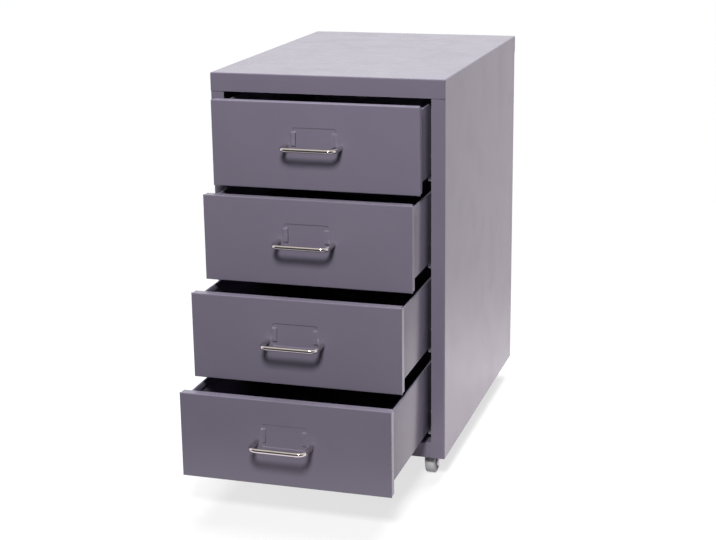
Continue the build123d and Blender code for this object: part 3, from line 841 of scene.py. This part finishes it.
def moulded_wheel(node):
    """A caster's wheel."""
    low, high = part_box(node)
    centre = (low + high) / 2
    half = (high.x - low.x) / 2
    radius = (high.z - low.z) / 2
    rim_inner = radius - wheel_round - wheel_dish
    half_profile = rounded(
        [(half - wheel_dish, axle_bore + 0.8 * MM), (half, axle_bore + 0.8 * MM), (half, hub_radius),
         (half - wheel_dish, hub_radius + 0.5 * MM), (half - wheel_dish, rim_inner - 0.5 * MM),
         (half, rim_inner)],
        0.35 * MM,
        steps=3,
    )[1:]
    shoulder = rounded([(half, rim_inner), (half, radius), (0, radius)], wheel_round, steps=8)[1:-1]
    line = [(2 * mould_line, radius), (0, radius + mould_line)]
    right_half = [Vector((half - wheel_dish, axle_bore))] + half_profile + shoulder + [Vector(p) for p in line]
    left_half = [Vector((-p.x, p.y)) for p in reversed(right_half[:-1])]
    profile = [(centre.x + p.x, p.y) for p in right_half + left_half]
    piece = new_piece(node.replace("caster_", "wheel_").replace("_wheel", "_tyre"),
                      *turned(profile, centre, closed=True))
    settle(piece, crease=40)
    stand_for(piece, node)


def riveted_axle(node):
    """A plain axle with a domed head at each end."""
    low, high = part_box(node)
    centre = (low + high) / 2
    head = (high.z - low.z) / 2
    steps = 6
    dome = []
    for step in range(steps + 1):
        angle = math.radians(90) * step / steps
        out = axle_head_height * (0.35 + 0.65 * math.cos(angle))
        dome.append((out, head * (0.12 + 0.88 * math.sin(angle))))
    dome.append((0.0, head))
    right_side = [(high.x - axle_head_height + out, r) for out, r in dome] + [(high.x - axle_head_height, axle_radius)]
    left_side = [(low.x + high.x - x, r) for x, r in reversed(right_side)]
    piece = new_piece(node + "_riveted", *turned(right_side + left_side, centre, closed=False))
    settle(piece, crease=40)
    stand_for(piece, node)


wheels = [name for name in nodes if name.endswith("_wheel")]
axles = [name for name in nodes if name.endswith("_axle")]
for name in wheels:
    moulded_wheel(name)
for name in axles:
    riveted_axle(name)
print("turned", len(wheels), "wheels and", len(axles), "axles")

# %% [markdown]
# The screws at the back are pan heads with a cross recess. A head is round and its recess is
# square, so neither a turned nor a boxed mesh suits both. The way out is a square grid that is
# pushed out to a circle: its middle lines stay straight, and the recess follows them.

# %% Screws at the back
screw_head = 3.5 * MM
screw_head_height = 1.7 * MM
screw_shank = 1.75 * MM
screw_shank_length = 8.0 * MM
recess_half_width = 0.14  # share of the head's radius
recess_reach = 0.56
recess_depth = 1.1 * MM
head_grid = 28


def pan_head(place, seat):
    """Points and faces of one screw: head, recess and shank. It is driven towards -Y."""
    points, faces = [], []
    count = head_grid + 1
    for j in range(count):
        for i in range(count):
            u, v = 2 * i / head_grid - 1, 2 * j / head_grid - 1
            x, z = u * math.sqrt(1 - v * v / 2), v * math.sqrt(1 - u * u / 2)
            r = math.hypot(x, z)
            dome = screw_head_height * math.sqrt(max(1 - (0.86 * r) ** 4, 0)) if r < 0.999 else 0.45 * MM
            arm = min(abs(u), abs(v)) < recess_half_width and max(abs(u), abs(v)) < recess_reach
            depth = recess_depth * (1 - 0.55 * max(abs(u), abs(v)) / recess_reach) if arm else 0
            points.append((place.x + screw_head * x, seat + dome - depth, place.z + screw_head * z))
    for j in range(head_grid):
        for i in range(head_grid):
            a = j * count + i
            faces.append((a, a + 1, a + 1 + count, a + count))
    rim = [i for i in range(count)] + [j * count + head_grid for j in range(1, count)]
    rim += [head_grid * count + i for i in range(head_grid - 1, -1, -1)]
    rim += [j * count for j in range(head_grid - 1, 0, -1)]
    before = rim
    shank = [(1.0, 0.0), (screw_shank / screw_head, 0.0)]
    turns = 9
    for turn_number in range(turns):
        along = -screw_shank_length * (turn_number + 1) / (turns + 1)
        shank += [(screw_shank / screw_head, along + 0.2 * MM), (0.74 * screw_shank / screw_head, along)]
    shank.append((0.08, -screw_shank_length))
    for share, along in shank:
        start = len(points)
        for index in rim:
            x, _, z = points[index]
            points.append((place.x + (x - place.x) * share, seat + along, place.z + (z - place.z) * share))
        now = list(range(start, len(points)))
        for n in range(len(rim)):
            m = (n + 1) % len(rim)
            faces.append((before[n], before[m], now[m], now[n]))
        before = now
    faces.append(tuple(before))
    return points, faces


def screw_places(node):
    """Middle of each separate solid in a node of fasteners."""
    shape = bmesh.new()
    shape.from_mesh(nodes[node].data)
    bmesh.ops.remove_doubles(shape, verts=shape.verts, dist=1e-6)
    left, middles = set(shape.verts), []
    while left:
        island, front = set(), [left.pop()]
        while front:
            vert = front.pop()
            island.add(vert)
            for edge in vert.link_edges:
                other = edge.other_vert(vert)
                if other in left:
                    left.remove(other)
                    front.append(other)
        xs, zs = [v.co.x for v in island], [v.co.z for v in island]
        middles.append(Vector(((min(xs) + max(xs)) / 2, 0, (min(zs) + max(zs)) / 2)))
    shape.free()
    return middles


for node in ("back_screws", "cover_screws"):
    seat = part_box(node)[1].y - screw_head_height
    points, faces = [], []
    places = screw_places(node)
    for place in places:
        more_points, more_faces = pan_head(place, seat)
        faces += [tuple(index + len(points) for index in face) for face in more_faces]
        points += more_points
    piece = new_piece(node + "_cross", points, faces)
    settle(piece, crease=35)
    stand_for(piece, node)
    print(node, len(places), "screws")
